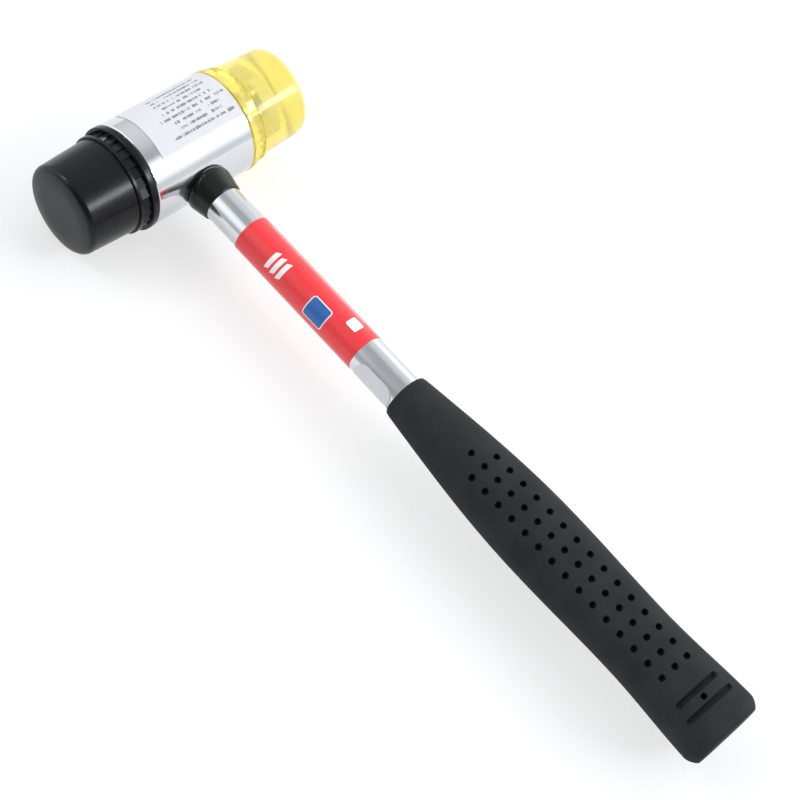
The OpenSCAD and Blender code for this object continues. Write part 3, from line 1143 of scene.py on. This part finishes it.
    def body_rings(self, distance: Array) -> Array:
        """Joins both broad sides and both edges to rings of the grip's outside.

        Args:
            distance: distances of the rings from the head's axis.

        Returns:
            Points of the rings.
        """
        upper, lower = self.broad_side(distance, 1), self.broad_side(distance, -1)
        left, right = self.edge_side(distance, -1), self.edge_side(distance, 1)
        return np.concatenate((upper[:, ::-1], left, lower, right[:, ::-1]), axis=1)

    def drawn_in(self, ring: Array, inset: Array, along: Array) -> Array:
        """Rings drawn in towards the axis by an even amount all round.

        Args:
            ring: points of one ring, or of as many rings as there are insets.
            inset: how far each ring is drawn in.
            along: distance of each ring from the head's axis.

        Returns:
            The new rings.
        """
        across, through = ring[..., 0], ring[..., 1]
        shrink = 1 - inset[:, None] / np.hypot(across, through)
        level = np.broadcast_to(along[:, None], shrink.shape)
        return np.stack((across * shrink, through * shrink, level), -1)

    def build(self) -> None:
        """Makes the grip: socket, upper end, body, chamfered butt and butt end, as one skin."""
        body = self.body_rings(self.rows())
        first = self.body_rings(np.array((self.start,)))[0]
        quarter = np.radians(np.linspace(0, 90, self.bare_rows))
        upper = self.drawn_in(first, self.upper_edge * (1 - np.sin(quarter)),
                              self.start + self.upper_edge * (1 - np.cos(quarter)))
        bend = np.linspace(0, self.bend_share, self.bend_rows)
        cut, inset = np.concatenate((np.stack((bend, bend**2), -1), np.array(self.butt_corner))).T
        chamfer_at = self.end - self.chamfer[0] * (1 - cut)
        chamfer = self.drawn_in(self.body_rings(chamfer_at), self.chamfer[1] * inset, chamfer_at)
        end = chamfer[-1] * np.array(self.butt_shares)[:, None, None]
        end[..., 2] = self.end
        bore = first * (self.bore_r / np.hypot(first[:, 0], first[:, 1]))[:, None]
        bore_at = np.array((*[self.bore_end] * 3, *self.bore_rows, self.start))
        socket = bore * np.array((0, 0.5, 1, 1, 1, 1))[:, None, None]
        socket[..., 2] = bore_at[:, None]
        rings = np.concatenate((socket, upper, body, chamfer, end))
        turn = math.radians(self.turn)
        x = rings[..., 0] * math.cos(turn) - rings[..., 1] * math.sin(turn)
        z = rings[..., 0] * math.sin(turn) + rings[..., 1] * math.cos(turn)
        placed = np.stack((x, -rings[..., 2], z), -1)
        piece = make_piece("rubber_grip", skin(placed), self.finish.material())
        install(piece, Body.HAMMER, "grip")


# Labels


@dataclass
class Labels:
    """Printed film round the tube, paper tag on the tube and paper label on the head."""

    tube_label_r: float = 7.15
    head_label_r: float = 19.3
    thickness: float = 0.117
    film_start: float = 42.6
    film_length: float = 58.7
    film_seam: float = 0.5
    tag_start: float = 103.8
    tag_length: float = 16.8
    tag_width: float = 13.5
    tag_corner: float = 4.0
    tag_angle: float = 104.0
    paper_from: float = -14.9
    paper_length: float = 35.6
    paper_width: float = 27.0
    paper_angle: float = 8.0
    film_grid: tuple[int, int] = (145, 30)
    paper_grid: tuple[int, int] = (40, 60)
    tag_columns: int = 41
    tag_rows: int = 12
    film_panels: tuple[Panel, ...] = (
        Panel((4.6, -1.0), (0.16, 24.0), 0.1, "F3B9B6"),
        Panel((-5.0, -14.6), (3.4, 0.9), 0.25, "F2F1EF", slant=-0.6),
        Panel((-5.0, -11.8), (3.4, 0.9), 0.25, "F2F1EF", slant=-0.6),
        Panel((-5.0, -9.0), (3.4, 0.9), 0.25, "F2F1EF", slant=-0.6),
        Panel((-6.4, 9.5), (4.2, 4.6), 1.2, "EDEBE9"),
        Panel((-6.4, 9.5), (3.8, 4.2), 0.9, "0B5CA8"),
        Panel((0.6, 21.5), (2.4, 2.6), 0.7, "46292A"),
        Panel((0.6, 21.5), (2.2, 2.4), 0.6, "EFEDEC"),
    )

    def round_tube(self, around: Array, along: Array, lift: float) -> Array:
        """Wraps a sheet round the tube: the angle is the distance from the top over the radius."""
        angle, radius = around / self.tube_label_r, self.tube_label_r + lift
        return np.stack((radius * np.sin(angle), -along, radius * np.cos(angle)), -1)

    def round_head(self, along: Array, around: Array, lift: float) -> Array:
        """Wraps a sheet round the head: the angle is the distance from the top over the radius."""
        angle, radius = around / self.head_label_r, self.head_label_r + lift
        return np.stack((along, radius * np.sin(angle), radius * np.cos(angle)), -1)

    def lay(self, name: str, node: str, finish: Finish, wrap: Callable[..., Array],
            flat: tuple[Array, Array]) -> None:
        """Makes a sheet from flat places, with texture coordinates from 0 to 1 both ways.

        Args:
            name: name of the piece.
            node: CAD node that it replaces.
            finish: finish of the sheet.
            wrap: lays flat places round the tube or the head.
            flat: grids of the sheet's two flat coordinates.
        """
        shape = slab(wrap(*flat, self.thickness), wrap(*flat, 0.0))
        uv = np.stack([(side - side.min()) / np.ptp(side) for side in flat], -1).reshape(-1, 2)
        piece = make_piece(name, shape, finish.material(), np.concatenate((uv, uv)))
        install(piece, Body.HAMMER, node)

    def build_film(self) -> None:
        """Makes the red film: a sheet wrapped nearly all the way round, its seam underneath."""
        size = (2 * math.pi * self.tube_label_r - self.film_seam, self.film_length)
        columns, rows = self.film_grid
        flat = np.meshgrid(np.linspace(-size[0] / 2, size[0] / 2, columns),
                           self.film_start + np.linspace(0, size[1], rows))
        film = PrintedFilm("printed_vinyl_film", "E82C33", size, self.film_panels)
        self.lay("red_shaft_film", "shaft_label", film, self.round_tube, flat)

    def build_tag(self) -> None:
        """Makes the tag: a sheet with round corners, whose rows narrow as those circles do."""
        corner, half = self.tag_corner, self.tag_length / 2
        turn = np.linspace(0, np.pi / 2, self.tag_rows)
        ends = half - corner + corner * np.sin(turn)
        sides = np.linspace(-half + corner, half - corner, self.tag_rows)[1:-1]
        row = np.concatenate((-ends[::-1], sides, ends))
        past = np.maximum(np.abs(row) - (half - corner), 0)
        width = self.tag_width / 2 - corner + np.sqrt(np.maximum(corner**2 - past**2, 0))
        middle = -math.radians(self.tag_angle) * self.tube_label_r
        around = middle + width[:, None] * np.linspace(-1, 1, self.tag_columns)
        along = np.broadcast_to(self.tag_start + half + row[:, None], around.shape)
        # No rows of marks: the tag is bare
        paper = CoatedPaper("coated_tag_paper", (self.tag_width, self.tag_length),
                            row_mm=2.4, rows=(0.0, 0.0), span=(0.0, 0.0))
        flat = (around, along)
        self.lay("shaft_tag_paper", "shaft_tag", paper, self.round_tube, flat)

    def build_head_paper(self) -> None:
        """Makes the head's label: a sheet wrapped over the top of the head."""
        middle = math.radians(self.paper_angle) * self.head_label_r
        columns, rows = self.paper_grid
        flat = np.meshgrid(self.paper_from + np.linspace(0, 1, columns) * self.paper_length,
                           middle + np.linspace(-0.5, 0.5, rows) * self.paper_width)
        paper = CoatedPaper("coated_label_paper", (self.paper_length, self.paper_width),
                            row_mm=2.45, rows=(2.4, 24.6), span=(7.0, 34.5),
                            tones=("C4C6CA", "D2D3D7"))
        self.lay("head_label_paper", "head_label", paper, self.round_head, flat)

    def build(self) -> None:
        """Makes the three labels."""
        self.build_film()
        self.build_tag()
        self.build_head_paper()


# Studio


@dataclass(frozen=True)
class Glow:
    """Brighter or darker patch on the walls: full up to one angle from its middle, then fading."""

    towards: Triple
    full: float
    gone: float
    strength: float


@dataclass(frozen=True)
class SoftBox:
    """Rectangular soft light that points at the hammer, with its lengths in metres."""

    name: str
    towards: Triple
    distance: float
    size: Pair
    power: float

    def build(self, target: Array) -> None:
        """Hangs the light in a direction from the target, facing it, and out of mirror images.

        Args:
            target: point that the light faces, in metres.
        """
        light = bpy.data.lights.new(self.name, "AREA")
        light.shape = "RECTANGLE"
        light.size, light.size_y = self.size
        light.energy = self.power
        lamp = bpy.data.objects.new(self.name, light)
        back = np.array(self.towards) / np.linalg.norm(self.towards)
        right = np.cross((0.0, 0.0, 1.0), back)
        right = right / np.linalg.norm(right)
        at = target + self.distance * back
        lamp.matrix_world = placement(right, np.cross(back, right), back, at)
        lamp.visible_glossy = False
        bpy.context.scene.collection.objects.link(lamp)


@dataclass
class Studio:
    """Floor, light and camera, in metres apart from the camera's place, lens and sensor."""

    camera_at: Triple = (-331.726, -291.476, 556.273)
    camera_right: Triple = (0.714626, -0.663892, 0.220356)
    camera_up: Triple = (0.496647, 0.703385, 0.508518)
    camera_back: Triple = (-0.492596, -0.253961, 0.832378)
    lens: float = 90.93
    sensor: float = 36.0
    clip: Pair = (0.01, 20.0)
    floor_half: float = 3.0
    target: Triple = (0.0, 0.0, 0.02)
    # Tones of the walls at the horizon and overhead, and the least one where patches overlap
    wall_tones: Pair = (0.7, 0.55)
    least_tone: float = 0.12
    glows: tuple[Glow, ...] = (
        # Light band on the tube, and glints on the collar and the black face
        Glow((-0.45, 0.78, 0.44), 28.0, 37.0, 0.95),
        Glow((-0.45, 0.62, 0.64), 1.5, 5.5, 34.0),
        Glow((-0.15, 0.54, 0.83), 1.5, 6.0, 9.0),
        # Light bands along the head and both faces
        Glow((0.46, -0.69, 0.56), 8.0, 26.0, 0.95),
        Glow((0.45, -0.72, 0.54), 2.0, 7.0, 14.0),
        Glow((0.58, -0.585, 0.565), 2.0, 9.0, 9.0),
        Glow((0.35, -0.72, 0.6), 2.0, 9.0, 14.0),
        Glow((0.48, -0.86, 0.1), 4.0, 14.0, 0.25),
        # Bright right side and dim left side
        Glow((0.78, 0.38, 0.45), 20.0, 52.0, 0.38),
        Glow((0.9, -0.28, 0.3), 15.0, 42.0, 1.45),
        Glow((-0.75, -0.5, 0.4), 20.0, 55.0, -0.6),
        Glow((-0.8, -0.12, 0.58), 8.0, 22.0, -0.35),
    )
    light: SoftBox = SoftBox("overhead_box", (0.66, 0.0, 0.75), 1.2, (1.8, 1.8), 7.0)

    def build_floor(self) -> None:
        """Lays the floor as one flat sheet at the height that the hammer rests on."""
        corners = self.floor_half * np.array(((-1, -1, 0), (1, -1, 0), (1, 1, 0), (-1, 1, 0)))
        mesh = bpy.data.meshes.new("floor")
        mesh.from_pydata(corners, [], [(0, 1, 2, 3)])
        mesh.materials.append(OpalAcrylic("cast_opal_acrylic").material())
        floor = bpy.data.objects.new("floor", mesh)
        bpy.context.scene.collection.objects.link(floor)

    def build_world(self) -> None:
        """Soft light from all round, darker overhead than at the horizon, with patches.

        A patch's light is a smooth step of the cosine of the angle from the patch's middle.
        """
        world = bpy.data.worlds.new("studio_walls")
        bpy.context.scene.world = world
        world.use_nodes = True
        world.node_tree.nodes.clear()
        node = partial(add, world.node_tree)
        way = node("TexCoord", out="Generated")
        height = node("SeparateXYZ", {0: way}, "Z")
        low, high = self.wall_tones
        tone = node("MapRange", {0: height, "To Min": low, "To Max": high})
        for glow in self.glows:
            middle = (np.array(glow.towards) / np.linalg.norm(glow.towards)).tolist()
            cosine = node("VectorMath", {0: way, 1: middle}, "Value", operation="DOT_PRODUCT")
            gone, full = (math.cos(math.radians(angle)) for angle in (glow.gone, glow.full))
            patch = node("MapRange", {0: cosine, "From Min": gone, "From Max": full,
                                      "To Max": glow.strength}, interpolation_type="SMOOTHSTEP")
            tone = node("Math", {0: tone, 1: patch})
        tone = node("Math", {0: tone, 1: self.least_tone}, operation="MAXIMUM")
        light = node("Background", {"Color": linear("F8FAFD"), "Strength": tone})
        node("OutputWorld", {"Surface": light})

    def build_camera(self) -> None:
        """Sets the camera where the photograph was taken from."""
        data = bpy.data.cameras.new("photo_camera")
        data.lens = self.lens
        data.sensor_width = self.sensor
        data.clip_start, data.clip_end = self.clip
        camera = bpy.data.objects.new("photo_camera", data)
        camera.matrix_world = placement(self.camera_right, self.camera_up, self.camera_back,
                                        in_frame(np.array(self.camera_at)))
        bpy.context.scene.collection.objects.link(camera)
        bpy.context.scene.camera = camera

    def build(self) -> None:
        """Makes the floor, the light and the camera."""
        self.build_floor()
        self.build_world()
        self.light.build(np.array(self.target))
        self.build_camera()
        bpy.context.scene.view_settings.view_transform = "Standard"


def main() -> None:
    """Builds the hammer's pieces in order, then the studio."""
    logging.basicConfig(level=logging.INFO)
    steel = ZincSteel("zinc_plated_steel").material()
    Head().build()
    faces = (
        ScrewFace(Side.BLACK, Body.BLACK_FACE,
                  MouldedRubber("moulded_hard_rubber", "0F1214", "15181A", (0.2, 0.27),
                                grain_mm=0.9, grain_depth_mm=0.008, mirror=0.2),
                  "black_rubber", pocket_gap=0.05),
        ScrewFace(Side.YELLOW, Body.YELLOW_FACE,
                  ClearPlastic("clear_yellow_plastic", "FCEE8C", "DCDA30", density=26.0,
                               clearness=0.7),
                  "yellow_plastic", pocket_gap=-0.01, hex_turn=15.0),
    )
    for face in faces:
        face.build_face()
        face.build_stud(steel)
    NeckCollar().build()
    HandleTube().build(steel)
    Grip().build()
    Labels().build()
    Studio().build()


if __name__ == "__main__":
    main()
